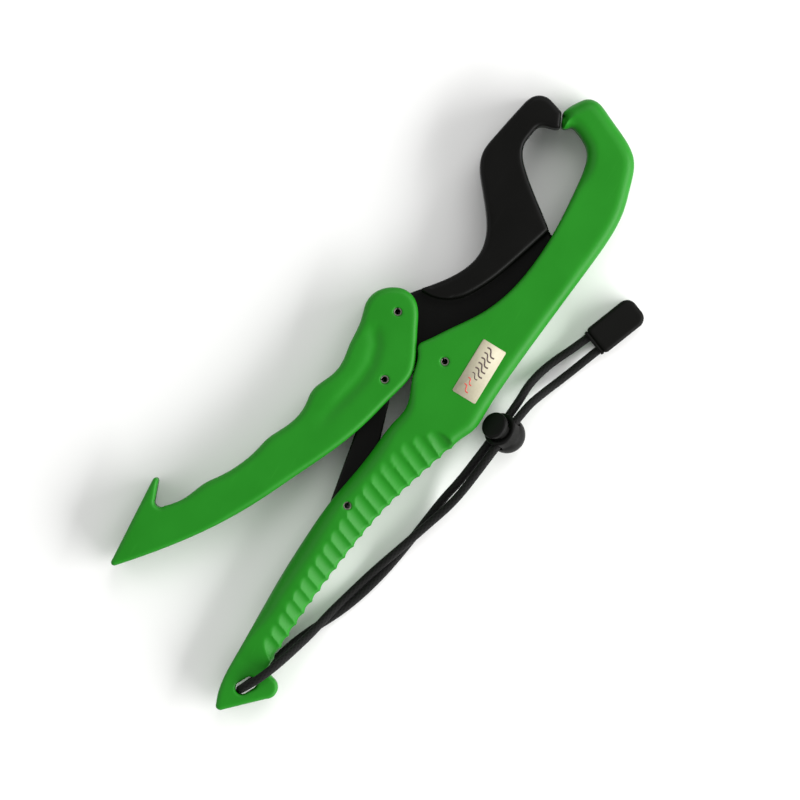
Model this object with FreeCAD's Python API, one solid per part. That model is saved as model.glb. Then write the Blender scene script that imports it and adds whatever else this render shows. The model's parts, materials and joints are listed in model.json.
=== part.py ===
"""Lip grip: a floating plastic fish holder with a toggle-locked jaw and a wrist lanyard.

The grip lies on its rear face. X runs from the pommel towards the jaws, Y from the palm side
towards the finger lever, Z up through the thickness. The parts are drawn about the jaw pivot
and moved at the end, so that the origin is below the middle of the grip, on the surface it
lies on. All sizes are in millimetres.
"""
import FreeCAD, Part
import math
import os

V = FreeCAD.Vector

# ---------------------------------------------------------------- driving dimensions
grip_thickness = 18.0          # body, moving jaw and lever
pommel_thickness = 9.6         # tail of the handle, thin enough for the lanyard to pass below
lever_tail_thickness = 12.0
jaw_reach = 104.9              # jaw pivot to the nose of the fixed jaw
handle_reach = 144.6           # jaw pivot to the end of the pommel
lever_reach = 120.8            # jaw pivot to the tip of the lever, along X

lever_pivot = (6.2, 23.0)      # jaw to lever
link_head_pivot = (-16.2, 14.6)  # lever to toggle link
link_foot_pivot = (-60.4, 2.8)  # toggle link to body
jaw_open_angle = 20.0          # degrees
lever_ratio = -2.963           # lever turn about its pivot, per degree of jaw opening
link_ratio = 1.188             # link turn about its foot, per degree of jaw opening

pin_diameter = 3.0
pin_bore = 1.7
pin_split = 0.5
pin_recess = 0.4               # how far each pin end sits below the face
running_gap = 0.05             # radial, pin in a turning bore
plate_thickness = 6.0          # jaw tongue and toggle link
plate_gap = 0.3                # each side of a plate in its slot
edge_gap = 0.6                 # round the rim of a plate in its slot

jaw_hub_radius = 8.0
jaw_eye_radius = 6.0
link_foot_radius = 6.0
link_head_radius = 3.3
toggle_slack = 2.3             # room for the open pivot in the link's head
toggle_side_room = 0.4
lever_eye_room = 8.4           # slot in the lever round the jaw's eye
lever_eye_sides = (165.0, 66.0)  # directions from the lever pivot between which the slot is open
lever_slot_reach = 40.0

outer_round = 4.0              # palm side and outside of the fixed jaw

handle_taper = (-70.0, -125.0)  # stations where the handle starts to thin and is thinnest
lever_taper = (-55.0, -118.0)

# float chambers: first centre and radius, second centre and radius, height to each side of the middle
body_chambers = [
    ((-112.0, 5.3), 1.4, (-78.0, 4.8), 2.0, 4.0),
    ((-42.0, -5.0), 1.8, (-24.0, -8.5), 3.0, 3.0),
    ((-4.0, -15.6), 2.2, (40.0, -18.5), 2.4, 6.6),
    ((66.0, -17.2), 5.6, (86.0, -14.2), 5.2, 6.6)]
lever_chambers = [
    ((-103.0, 55.0), 3.0, (-84.0, 42.5), 4.4, 4.2),
    ((-76.0, 37.5), 4.6, (-58.0, 30.5), 4.8, 6.0)]
body_pegs = [(-71.0, 5.0), (-13.5, -13.0), (57.0, -19.5), (97.5, -6.0)]
lever_pegs = [(-50.5, 26.5), (-109.5, 59.4)]
peg_radius = 1.25
peg_height = 2.0
peg_gap = 0.1

rib_count = 20
rib_depth = 0.7                # hollow of each scallop below its two ridges
rib_drop = 3.4                 # how far the ribbed bevel falls to the palm edge, at full thickness

lanyard_slot = ((-133.9, 0.9), (-130.8, -0.7))
lanyard_slot_width = 4.5

label_size = (21.0, 9.3, 0.15)
label_centre = (3.3, -12.0)

cord_diameter = 3.0
cord_gap = 0.2                 # radial, cord in a hole that slides on it
strand_offset = 1.75           # each strand of the cord's route from the middle of the lock

lock_ball_radius = 6.5
lock_neck_radius = 6.1
lock_neck_round = 0.8
lock_neck_top = 6.0            # above the middle of the ball
lock_chamber_radius = 4.4
lock_chamber_floor = -3.4
spring_pocket_radius = 3.2
spring_pocket_floor = -5.1
lock_bore_height = 3.3         # cords above the middle of the ball
lock_tilt = 54.0               # button axis above the surface, degrees
lock_yaw = -5.0                # run of the cords through the lock, degrees
lock_bore_centre = (-10.2, -29.9)
button_radius = 4.8
button_thickness = 1.8
button_edge = 0.7
button_travel = 2.2
button_rest_gap = 0.2          # left under the button when it is pressed home
plunger_gap = 0.1
plunger_floor = 1.6            # below the hole in the plunger
spring_wire = 0.6
spring_radius = 2.6
spring_turns = 3.5
spring_gap = 0.05              # at each end of the spring

cap_size = (19.2, 10.8, 7.2)
cap_mouth = (33.4, -41.3)
cap_angle = -20.0
cap_wall = 1.0
cap_corner = 3.6               # far corners seen from the front
cap_mouth_corner = 1.6
cap_edge = 1.5
cap_pocket_depth = 8.6
plug_depth = 4.0
plug_flange = 1.0
plug_corner = 0.6
strand_spacing = 5.6           # between the two cord ends in the cap

# ---------------------------------------------------------------- worked out
over = 1.0                     # how far a cutting tool runs past the face that it cuts
mid = grip_thickness / 2
plate_low = mid - plate_thickness / 2
slot_low = plate_low - plate_gap
slot_height = plate_thickness + 2 * plate_gap
pin_radius = pin_diameter / 2
cord_radius = cord_diameter / 2
Z = V(0, 0, 1)
ORIGIN = (0.0, 0.0)

# The outlines below are drawn at these lengths. Another reach stretches the band of stations, so
# that the claws, the pommel and the spurs keep their shapes.
drawn_jaw_reach, jaw_band = 104.9, (60.0, 84.0)
drawn_handle_reach, handle_band = 144.6, (-66.0, -118.0)
drawn_lever_reach, lever_band = 120.8, (-48.0, -90.0)


# ---------------------------------------------------------------- helpers
def stretched(points, band, growth):
    """Lengthen an outline by a band of its stations. What lies past the band moves as one."""
    start, end = band
    side = 1 if end > start else -1
    return [(x + side * growth * min(1.0, max(0.0, (x - start) / (end - start))), y) for x, y in points]


def body_points(points):
    points = stretched(points, jaw_band, jaw_reach - drawn_jaw_reach)
    return stretched(points, handle_band, handle_reach - drawn_handle_reach)


def lever_points(points):
    return stretched(points, lever_band, lever_reach - drawn_lever_reach)


def curve(points):
    """A straight edge through two points, an arc through three, a spline through more."""
    at = [V(x, y, 0) for x, y in points]
    if len(at) == 2:
        return Part.LineSegment(at[0], at[1]).toShape()
    if len(at) == 3:
        return Part.Arc(at[0], at[1], at[2]).toShape()
    spline = Part.BSplineCurve()
    spline.interpolate(at)
    return spline.toShape()


def face(runs):
    """The flat face inside runs, each of which starts where the last one ends."""
    return Part.Face(Part.Wire([curve(run) for run in runs]))


def slab(flat, low, height):
    flat = flat.copy()
    flat.translate(V(0, 0, low))
    return flat.extrude(V(0, 0, height))


def disc(centre, radius, low, height):
    return Part.makeCylinder(radius, height, V(centre[0], centre[1], low), Z)


def bore(centre, radius):
    return disc(centre, radius, -over, grip_thickness + 2 * over)


def polygon(points):
    return Part.Face(Part.makePolygon([V(x, y, 0) for x, y in points + points[:1]]))


def polar(centre, radius, angle):
    a = math.radians(angle)
    return (centre[0] + radius * math.cos(a), centre[1] + radius * math.sin(a))


def turned(point, about, angle):
    a = math.radians(angle)
    dx, dy = point[0] - about[0], point[1] - about[1]
    return (about[0] + dx * math.cos(a) - dy * math.sin(a), about[1] + dx * math.sin(a) + dy * math.cos(a))


def belt(centre_a, radius_a, centre_b, radius_b):
    """The outline of a strap round two discs."""
    dx, dy = centre_b[0] - centre_a[0], centre_b[1] - centre_a[1]
    way = math.degrees(math.atan2(dy, dx))
    side = math.degrees(math.acos((radius_a - radius_b) / math.hypot(dx, dy)))
    a_left, a_right = polar(centre_a, radius_a, way + side), polar(centre_a, radius_a, way - side)
    b_left, b_right = polar(centre_b, radius_b, way + side), polar(centre_b, radius_b, way - side)
    a_far, b_far = polar(centre_a, radius_a, way + 180), polar(centre_b, radius_b, way)
    return face([[a_right, b_right], [b_right, b_far, b_left], [b_left, a_left], [a_left, a_far, a_right]])


def side_profile(start, end, tail_thickness):
    """A bar of full thickness that thins on both faces, along an arc, from start to end on X."""
    drop = (grip_thickness - tail_thickness) / 2
    halfway = (start + end) / 2
    half_size = 400.0

    def at(x, z):
        return V(x, -half_size, z)

    rear = Part.Arc(at(start, 0), at(halfway, drop / 4), at(end, drop))
    front = Part.Arc(at(end, grip_thickness - drop), at(halfway, grip_thickness - drop / 4),
                     at(start, grip_thickness))
    tail = Part.makePolygon([at(end, drop), at(-half_size, drop), at(-half_size, grip_thickness - drop),
                             at(end, grip_thickness - drop)])
    head = Part.makePolygon([at(start, grip_thickness), at(half_size, grip_thickness), at(half_size, 0),
                             at(start, 0)])
    wire = Part.Wire([rear.toShape()] + tail.Edges + [front.toShape()] + head.Edges)
    return Part.Face(wire).extrude(V(0, 2 * half_size, 0))


def rim_edges(solid, run):
    """The front and rear edges of a slab that stand over one run of its outline."""
    guide = curve(run)
    found = []
    upright, near = 0.9, 0.02
    for edge in solid.Edges:
        middle = edge.valueAt((edge.FirstParameter + edge.LastParameter) / 2)
        if abs(edge.tangentAt(edge.FirstParameter).z) > upright:
            continue
        if guide.distToShape(Part.Vertex(V(middle.x, middle.y, 0)))[0] < near:
            found.append(edge)
    return found


def halves(solid):
    """Part a solid on the mid plane and return its front and rear halves."""
    box = solid.BoundBox
    length, width = box.XLength + 2 * over, box.YLength + 2 * over
    corner = V(box.XMin - over, box.YMin - over, mid)
    front = Part.makeBox(length, width, grip_thickness, corner)
    rear = Part.makeBox(length, width, grip_thickness, corner - V(0, 0, grip_thickness))
    return solid.common(front), solid.common(rear)


# ---------------------------------------------------------------- outlines
inner_edge = body_points([
    (1.8, 10.2), (5, 8), (10, 4.9), (20, -1.5), (30, -5.8), (40, -8), (50, -8.9), (60, -8.9), (70, -8.1),
    (80, -6.9), (85, -5.8), (88.5, -3.9), (91, -0.3), (92.4, 3.2), (92.8, 5)])
claw_edge = body_points([(92.8, 5), (91.4, 5.9), (90.4, 7.8)])
claw_face = body_points([(90.4, 7.8), (95.4, 10.2)])
outer_edge = body_points([
    (95.4, 10.2), (98, 9.4), (101, 7.7), (103.8, 5.4), (104.8, 2.6), (103.2, -3), (100.2, -10),
    (97.6, -15.4), (94, -19.7), (86, -23.2), (77, -25.8), (67, -26.6), (55, -25.9), (30, -23.7),
    (5, -21.8), (-8, -21.5), (-15, -21.1), (-19.5, -19.2), (-24.8, -17.7)])
palm_edge = body_points([
    (-24.8, -17.7), (-34.8, -14.7), (-53.5, -9.6), (-73.8, -6.4), (-94.5, -4.4), (-119.5, -3.4)])
notch_edge = body_points([(-119.5, -3.4), (-123.6, -4), (-125.2, -7)])
spur_edge = body_points([(-125.2, -7), (-128.2, -10.2), (-132.6, -8.4)])
pommel_edge = body_points([(-132.6, -8.4), (-143.9, 2.8)])
pommel_tip = body_points([(-143.9, 2.8), (-144.6, 4.3), (-143.4, 5.6)])
spine_edge = body_points([
    (-143.4, 5.6), (-136.5, 7.8), (-125, 8.6), (-110, 9.1), (-92, 9.6), (-75, 9.3), (-61.5, 8.4), (-50, 6.6),
    (-38, 5.2), (-27, 4.1), (-21, 3.1), (-16, 4.4), (-10, 6.9), (-5, 8.2), (-1.6, 10)])
apex_edge = body_points([(-1.6, 10), (0.2, 10.8), (1.8, 10.2)])
bevel_edge = body_points([
    (-22.5, -11.5), (-25, -9.2), (-30, -5.5), (-40, -2.3), (-50, -0.5), (-62, 0.2), (-80, 1.2), (-100, 1.4),
    (-118, 1.4)])

lever_edge = lever_points([
    (-120.4, 60.7), (-105, 48.3), (-90, 38), (-75, 29.8), (-60, 23), (-45, 16.4), (-30, 11.6), (-20, 9.3),
    (-14, 7.8), (-9.5, 7.4), (-5, 8.8), (0, 11.4), (5, 14.2), (10, 17), (13.2, 20.3), (14.2, 24.5),
    (12.4, 29.3), (8.5, 33), (3.5, 34.1), (-0.5, 33.1), (-5, 32), (-12, 31.4), (-18, 30.4), (-23, 30.7),
    (-28, 32.6), (-33, 34.1), (-38, 33.5), (-44, 34), (-50, 36.3), (-55, 38.6), (-60, 39.7), (-67, 41.9),
    (-75, 46.1), (-80, 49.3), (-86, 51.6), (-90.5, 54.1), (-93.8, 57)])
lever_notch = lever_points([(-93.8, 57), (-95.2, 59.4), (-93.4, 61)])
lever_spur_low = lever_points([(-93.4, 61), (-87.8, 63.2)])
lever_spur_tip = lever_points([(-87.8, 63.2), (-86.8, 64.5), (-88, 65.2)])
lever_spur_top = lever_points([(-88, 65.2), (-119.4, 62.7)])
lever_tip = lever_points([(-119.4, 62.7), (-120.8, 61.9), (-120.4, 60.7)])

jaw_top = body_points([
    (17.2, 20.4), (23, 15.8), (30, 11.5), (37, 9.4), (44, 10.3), (52, 15), (60, 21.8), (65, 25.4),
    (69.5, 26.8), (75, 26.3), (82, 25.1), (90, 23.6), (94.8, 21.8), (96.9, 18.1), (96.4, 14.6),
    (95.2, 10.6)])
jaw_face = body_points([(95.2, 10.6), (90.1, 8.2)])
jaw_inner = body_points([
    (90.1, 8.2), (88.8, 10.4), (88.1, 12.8), (86.8, 14.7), (83.5, 15.6), (79.5, 15.9), (75.8, 14.7),
    (71.5, 10.9), (66.5, 4.7), (62.5, -0.8), (58, -6.9)])
jaw_step = body_points([
    (58, -6.9), (52, -5.2), (45, -3.1), (35, 0.1), (28, 3.2), (21.5, 7.6), (18, 13), (17.2, 20.4)])
tongue_fin = [(-2.5, -7.6), (25, -11), (50, -12.4), (55.6, -11.4), (58, -6.9), (62, 4), (30, 10),
              (17.2, 20.4), (14.6, 22.4), (11, 26.2)]

# the turn of the moving jaw sweeps its tongue through this part of the body
tongue_slot = [(-8.6, 0), (-9.6, 14), (70, 14), (58.9, -7), (56.1, -12), (50, -13.1), (25, -11.7),
               (-2.5, -8.4)]


# ---------------------------------------------------------------- body
def body_slots():
    tongue = slab(polygon(tongue_slot), slot_low, slot_height)
    hub = disc(ORIGIN, jaw_hub_radius + edge_gap, slot_low, slot_height)
    foot = disc(link_foot_pivot, link_foot_radius + edge_gap, slot_low, slot_height)
    low = belt(link_foot_pivot, link_foot_radius + edge_gap, link_head_pivot, link_head_radius + edge_gap)
    left = link_foot_pivot[0] - link_foot_radius - edge_gap
    above = polygon([(left, link_foot_pivot[1]), link_foot_pivot, link_head_pivot, (left, 40)])
    return [tongue, hub, foot, slab(low, slot_low, slot_height), slab(above, slot_low, slot_height)]


def tail_fall(x):
    """How far each face has dropped, at one station, where the handle thins."""
    (start, _), (end, _) = body_points([(station, 0) for station in handle_taper])
    share = min(1.0, max(0.0, (x - start) / (end - start)))
    return share ** 2 * (grip_thickness - pommel_thickness) / 2


def scallops():
    """Round-bottomed grooves across the palm edge and up both bevels, one for each rib."""
    palm = curve(palm_edge).discretize(Number=rib_count + 1)
    bevel = curve(bevel_edge).discretize(Number=rib_count + 1)
    cutters = []
    run_out = 7.0
    for i in range(rib_count):
        chord = palm[i + 1] - palm[i]
        radius = (chord.Length ** 2 / 4 + rib_depth ** 2) / (2 * rib_depth)
        foot = (palm[i] + palm[i + 1]) * 0.5
        head = (bevel[i] + bevel[i + 1]) * 0.5
        out = chord.cross(Z).normalize()
        if out.dot(foot - head) < 0:
            out = out * -1
        rise = radius - rib_depth
        cutters.append(bore(foot + out * rise, radius))
        foot_fall, head_fall = tail_fall(foot.x), tail_fall(head.x)
        foot_fall += rib_drop * (1 - 2 * foot_fall / grip_thickness)
        for face_z, side in ((grip_thickness, 1), (0.0, -1)):
            low = V(foot.x, foot.y, face_z - side * foot_fall)
            high = V(head.x, head.y, face_z - side * head_fall)
            way = (high - low).normalize()
            lift = way.cross(chord).normalize()
            if lift.z * side < 0:
                lift = lift * -1
            start = low + lift * rise - way * run_out
            cutters.append(Part.makeCylinder(radius, (high - low).Length + 2 * run_out, start, way))
    return cutters


def body_shells():
    runs = [inner_edge, claw_edge, claw_face, outer_edge, palm_edge, notch_edge, spur_edge, pommel_edge,
            pommel_tip, spine_edge, apex_edge]
    solid = slab(face(runs), 0, grip_thickness)
    (taper_start, _), (taper_end, _) = body_points([(x, 0) for x in handle_taper])
    solid = solid.common(side_profile(taper_start, taper_end, pommel_thickness))
    solid = solid.Solids[0].makeFillet(outer_round, rim_edges(solid.Solids[0], outer_edge))
    slot_start, slot_end = body_points(lanyard_slot)
    slot = belt(slot_start, lanyard_slot_width / 2, slot_end, lanyard_slot_width / 2)
    bores = [bore(at, pin_radius) for at in (ORIGIN, link_foot_pivot)]
    solid = solid.cut(body_slots() + scallops() + bores + [slab(slot, -over, grip_thickness + 2 * over)])
    front, rear = halves(solid)
    return with_chambers(front, rear, body_chambers, body_pegs, body_points)


def with_chambers(front, rear, chambers, pegs, placed):
    """Hollow both shells inside their walls, and locate one on the other with round pegs."""
    hollows = []
    for drawn_a, radius_a, drawn_b, radius_b, half in chambers:
        a, b = placed([drawn_a, drawn_b])
        hollows.append(slab(belt(a, radius_a, b, radius_b), mid - half, 2 * half))
    front, rear = front.cut(hollows), rear.cut(hollows)
    for at in placed(pegs):
        rear = rear.fuse(disc(at, peg_radius, mid - peg_height, 2 * peg_height))
        front = front.cut(disc(at, peg_radius + peg_gap, mid, peg_height + peg_gap))
    return front, rear


# ---------------------------------------------------------------- moving jaw and toggle
def moving_jaw():
    head = slab(face([jaw_top, jaw_face, jaw_inner, jaw_step]), 0, grip_thickness)
    fin = slab(polygon(tongue_fin), plate_low, plate_thickness)
    hub = disc(ORIGIN, jaw_hub_radius, plate_low, plate_thickness)
    arm = slab(belt(ORIGIN, jaw_hub_radius, lever_pivot, jaw_eye_radius), plate_low, plate_thickness)
    jaw = head.fuse([fin, hub, arm]).removeSplitter()
    return jaw.cut([bore(at, pin_radius + running_gap) for at in (ORIGIN, lever_pivot)])


def pin_in_link(jaw_angle):
    """Where the lever carries its lower pin, seen from the link, at one opening of the jaw."""
    at = turned(link_head_pivot, lever_pivot, lever_ratio * jaw_angle)
    at = turned(at, ORIGIN, jaw_angle)
    return turned(at, link_foot_pivot, -link_ratio * jaw_angle)


def toggle_link():
    """The pin's place in the head is a slot, because the lever and the link turn at even rates."""
    bar = slab(belt(link_foot_pivot, link_foot_radius, link_head_pivot, link_head_radius),
               plate_low, plate_thickness)
    furthest = pin_in_link(jaw_open_angle / 2)
    room = pin_radius + toggle_side_room
    slot = slab(belt(link_head_pivot, room, furthest, room), 0, grip_thickness)
    return bar.cut([slot, bore(link_foot_pivot, pin_radius + running_gap)])


def lever_shells():
    runs = [lever_edge, lever_notch, lever_spur_low, lever_spur_tip, lever_spur_top, lever_tip]
    solid = slab(face(runs), 0, grip_thickness)
    (taper_start, _), (taper_end, _) = lever_points([(x, 0) for x in lever_taper])
    solid = solid.common(side_profile(taper_start, taper_end, lever_tail_thickness))
    eye = disc(lever_pivot, lever_eye_room, slot_low, slot_height)
    head_room = link_head_radius + toggle_slack + edge_gap
    head = disc(link_head_pivot, head_room, slot_low, slot_height)
    dx, dy = link_foot_pivot[0] - link_head_pivot[0], link_foot_pivot[1] - link_head_pivot[1]
    square = math.degrees(math.atan2(dy, dx)) - 90
    above_foot = polar(link_foot_pivot, link_foot_radius + edge_gap, square)
    above_head = polar(link_head_pivot, head_room, square)
    eye_start = polar(lever_pivot, lever_eye_room, lever_eye_sides[0])
    eye_end = polar(lever_pivot, lever_slot_reach, lever_eye_sides[1])
    open_side = polygon([above_foot, above_head, eye_start, lever_pivot, eye_end, (60, -20), (-70, -20)])
    bores = [bore(at, pin_radius) for at in (lever_pivot, link_head_pivot)]
    solid = solid.cut([eye, head, slab(open_side, slot_low, slot_height)] + bores)
    front, rear = halves(solid)
    return with_chambers(front, rear, lever_chambers, lever_pegs, lever_points)


def roll_pin(at):
    """A rolled steel pin, hollow and split along one side."""
    length = grip_thickness - 2 * pin_recess
    pin = disc(at, pin_radius, pin_recess, length).cut(bore(at, pin_bore / 2))
    return pin.cut(Part.makeBox(pin_diameter, pin_split, grip_thickness, V(at[0], at[1] - pin_split / 2, 0)))


def label():
    length, width, height = label_size
    corner = V(label_centre[0] - length / 2, label_centre[1] - width / 2, grip_thickness)
    return Part.makeBox(length, width, height, corner)


# ---------------------------------------------------------------- lanyard
def tube(points, radius):
    """A round cord along straight runs joined by arcs, each as large as its two runs allow."""
    share = 0.45               # of the shorter run, taken up by the arc
    at = [V(*p) for p in points]
    edges, start, radii = [], at[0], []
    for i in range(1, len(at) - 1):
        back, ahead = at[i - 1] - at[i], at[i + 1] - at[i]
        run = min(back.Length, ahead.Length)
        turn = math.pi - back.getAngle(ahead)
        reach = share * run
        radii.append(reach / math.tan(turn / 2))
        back.normalize()
        ahead.normalize()
        into, out = at[i] + back * reach, at[i] + ahead * reach
        to_centre = (back + ahead).normalize()
        centre = at[i] + to_centre * math.hypot(radii[-1], reach)
        edges.append(Part.LineSegment(start, into).toShape())
        edges.append(Part.Arc(into, centre - to_centre * radii[-1], out).toShape())
        start = out
    edges.append(Part.LineSegment(start, at[-1]).toShape())
    path = Part.Wire(edges)
    section = Part.Wire([Part.makeCircle(radius, at[0], at[1] - at[0])])
    solid = path.makePipeShell([section], True, False, 2)
    expected = math.pi * radius ** 2 * path.Length
    print("cord length %.1f, radii %s" % (path.Length, " ".join("%.1f" % r for r in radii)))
    print("cord volume / (section x length) = %.4f" % (solid.Volume / expected))
    return solid


# From one hole of the end cap, through the lock, over the tail of the handle, down the pommel's
# slot, where the cord folds back on itself, and along the surface to the other hole of the cap.
cord_route = [
    (37.05, -45.61, 3.6), (27.74, -42.22, 3.6), (17.5, -38.6, 1.8), (8.5, -35.0, 4.0), (0.5, -32.26, 10.2),
    (-31.0, -29.5, 10.2), (-41.0, -28.0, 6.3), (-50.0, -25.2, 4.9), (-63.0, -21.1, 4.9), (-75.0, -17.2, 1.7),
    (-87.0, -14.0, 1.6), (-97.0, -11.4, 3.0), (-104.5, -10.0, 5.9), (-111.5, -8.1, 9.6),
    (-117.5, -6.3, 13.6), (-122.5, -4.6, 16.2), (-128.0, -2.4, 16.6), (-132.9, 0.2, 14.4),
    (-134.4, 1.0, 9.0), (-132.6, 0.0, 3.4),
    (-126.8, -2.4, 2.0), (-118.5, -4.3, 1.6), (-110.5, -6.6, 1.6), (-103.0, -9.8, 1.6), (-95.0, -13.9, 1.6),
    (-86.0, -17.3, 1.6), (-75.0, -20.2, 1.6), (-64.0, -22.0, 1.6), (-52.0, -23.4, 1.6), (-41.0, -24.6, 3.4),
    (-31.0, -26.66, 8.14), (0.5, -29.42, 8.14), (9.0, -29.2, 3.6), (18.5, -31.7, 1.8), (29.66, -36.96, 3.6),
    (38.96, -40.35, 3.6)]


def lock_placed(shape):
    """Stand the cord lock on the surface, its button leaning towards the front."""
    tilt = math.radians(lock_tilt)
    lean = lock_bore_height * math.cos(tilt)
    shape = shape.copy()
    shape.rotate(V(), V(1, 0, 0), lock_tilt - 90)
    shape.rotate(V(), Z, lock_yaw)
    yaw = math.radians(lock_yaw)
    shape.translate(V(lock_bore_centre[0] + lean * math.sin(yaw), lock_bore_centre[1] - lean * math.cos(yaw),
                      lock_ball_radius))
    return shape


def strands_hole(low, high, side):
    """A flat-sided hole along X for the two strands, which lie side by side in Y."""
    half = strand_offset + cord_radius + side
    return Part.makeBox(4 * lock_ball_radius, 2 * half, high - low, V(-2 * lock_ball_radius, -half, low))


def top_rim(cylinder):
    return [max(cylinder.Edges, key=lambda edge: edge.BoundBox.ZMin)]


def cord_lock_barrel():
    ball = Part.makeSphere(lock_ball_radius)
    neck = Part.makeCylinder(lock_neck_radius, lock_neck_top)
    barrel = ball.fuse(neck.makeFillet(lock_neck_round, top_rim(neck)))
    chamber = Part.makeCylinder(lock_chamber_radius, 4 * lock_ball_radius, V(0, 0, lock_chamber_floor))
    pocket = Part.makeCylinder(spring_pocket_radius, lock_ball_radius, V(0, 0, spring_pocket_floor))
    height = cord_radius + cord_gap
    strands = strands_hole(lock_bore_height - height, lock_bore_height + height, cord_gap)
    return lock_placed(barrel.cut([chamber, pocket, strands]).removeSplitter())


def plunger_foot():
    return lock_bore_height - cord_radius - cord_gap - plunger_floor


def cord_lock_button():
    radius = lock_chamber_radius - plunger_gap
    head_low = lock_neck_top + button_travel + button_rest_gap
    foot = plunger_foot()
    plunger = Part.makeCylinder(radius, head_low - foot, V(0, 0, foot))
    head = Part.makeCylinder(button_radius, button_thickness, V(0, 0, head_low))
    head = head.makeFillet(button_edge, top_rim(head))
    low = lock_bore_height - cord_radius - cord_gap
    high = lock_bore_height + cord_radius + cord_gap + button_travel
    return lock_placed(plunger.fuse(head).cut(strands_hole(low, high, cord_gap)).removeSplitter())


def cord_lock_spring():
    low = spring_pocket_floor + spring_wire / 2 + spring_gap
    height = plunger_foot() - spring_wire / 2 - spring_gap - low
    helix = Part.makeLongHelix(height / spring_turns, height, spring_radius)
    section = Part.Wire([Part.makeCircle(spring_wire / 2, V(spring_radius, 0, 0), V(0, 1, 0))])
    spring = Part.Wire(helix.Edges).makePipeShell([section], True, True)
    spring.translate(V(0, 0, low))
    return lock_placed(spring)


def cap_placed(shape):
    shape = shape.copy()
    shape.rotate(V(), Z, cap_angle)
    shape.translate(V(cap_mouth[0], cap_mouth[1], cap_size[2] / 2))
    return shape


def bar(length, width, height, start):
    return Part.makeBox(length, width, height, V(start, -width / 2, -height / 2))


def cord_end_cap():
    length, width, height = cap_size
    shell = bar(length, width, height, 0)
    for radius, end in ((cap_corner, length), (cap_mouth_corner, 0)):
        corners = [e for e in shell.Edges if e.BoundBox.ZLength > height / 2 and
                   abs(e.CenterOfMass.x - end) < over]
        shell = shell.makeFillet(radius, corners)
    rims = [e for e in shell.Edges if e.BoundBox.ZLength < height / 2]
    shell = shell.makeFillet(cap_edge, rims)
    pocket = bar(cap_pocket_depth + over, width - 2 * cap_wall, height - 2 * cap_wall, -over)
    return cap_placed(shell.cut(pocket))


def cord_end_plug():
    length, width, height = cap_size
    body = bar(plug_depth, width - 2 * cap_wall, height - 2 * cap_wall, 0)
    flange = bar(plug_flange, width - cap_wall, height - cap_wall, -plug_flange)
    corners = [e for e in flange.Edges if plug_flange / 2 < e.BoundBox.XLength < 2 * plug_flange]
    flange = flange.makeFillet(plug_corner, corners)
    holes = [Part.makeCylinder(cord_radius, 2 * length, V(-length, side * strand_spacing / 2, 0), V(1, 0, 0))
             for side in (-1, 1)]
    return cap_placed(body.fuse(flange).cut(holes).removeSplitter())


# ---------------------------------------------------------------- assembly
def build():
    parts = {}
    parts["body_front_shell"], parts["body_rear_shell"] = body_shells()
    parts["lever_front_shell"], parts["lever_rear_shell"] = lever_shells()
    parts["moving_jaw"] = moving_jaw()
    parts["toggle_link"] = toggle_link()
    parts["jaw_pivot_pin"] = roll_pin(ORIGIN)
    parts["lever_pivot_pin"] = roll_pin(lever_pivot)
    parts["link_head_pin"] = roll_pin(link_head_pivot)
    parts["link_foot_pin"] = roll_pin(link_foot_pivot)
    parts["label"] = label()
    parts["cord_lock_barrel"] = cord_lock_barrel()
    parts["cord_lock_button"] = cord_lock_button()
    parts["cord_lock_spring"] = cord_lock_spring()
    parts["cord_end_cap"] = cord_end_cap()
    parts["cord_end_plug"] = cord_end_plug()
    parts["lanyard_cord"] = tube(cord_route, cord_radius)
    return parts


LANYARD = ("cord_lock_barrel", "cord_lock_button", "cord_lock_spring", "cord_end_cap", "cord_end_plug",
           "lanyard_cord")

parts = build()
grip = Part.makeCompound([shape for name, shape in parts.items() if name not in LANYARD])
box = grip.optimalBoundingBox(False)
home = V(-(box.XMin + box.XMax) / 2, -(box.YMin + box.YMax) / 2, -box.ZMin)
os.makedirs("parts", exist_ok=True)
print("jaw pivot at %.3f %.3f, underside raised by %.3f" % (home.x, home.y, home.z))
for name, shape in parts.items():
    solid = shape.Solids[0] if len(shape.Solids) == 1 else shape
    solid = solid.copy()
    solid.translate(home)
    print("%-18s solids %d valid %s volume %.1f" % (name, len(shape.Solids), solid.isValid(), solid.Volume))
    solid.exportStep("parts/%s.step" % name)
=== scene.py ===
# %% [markdown]
# # A plastic lip grip
#
# A lip grip holds a fish by its lower lip. This one is moulded in green plastic, floats, and
# locks shut with a small toggle linkage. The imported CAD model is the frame: it says where every
# piece is. This script gives each piece its finished surface, its material, and the light to
# see it by. Start by loading the frame and keeping the size of the CAD model for a later check.

# %% Load the frame
import json
import math

import bmesh
import bpy
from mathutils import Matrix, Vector
from mathutils.bvhtree import BVHTree
from mathutils.kdtree import KDTree


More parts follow.
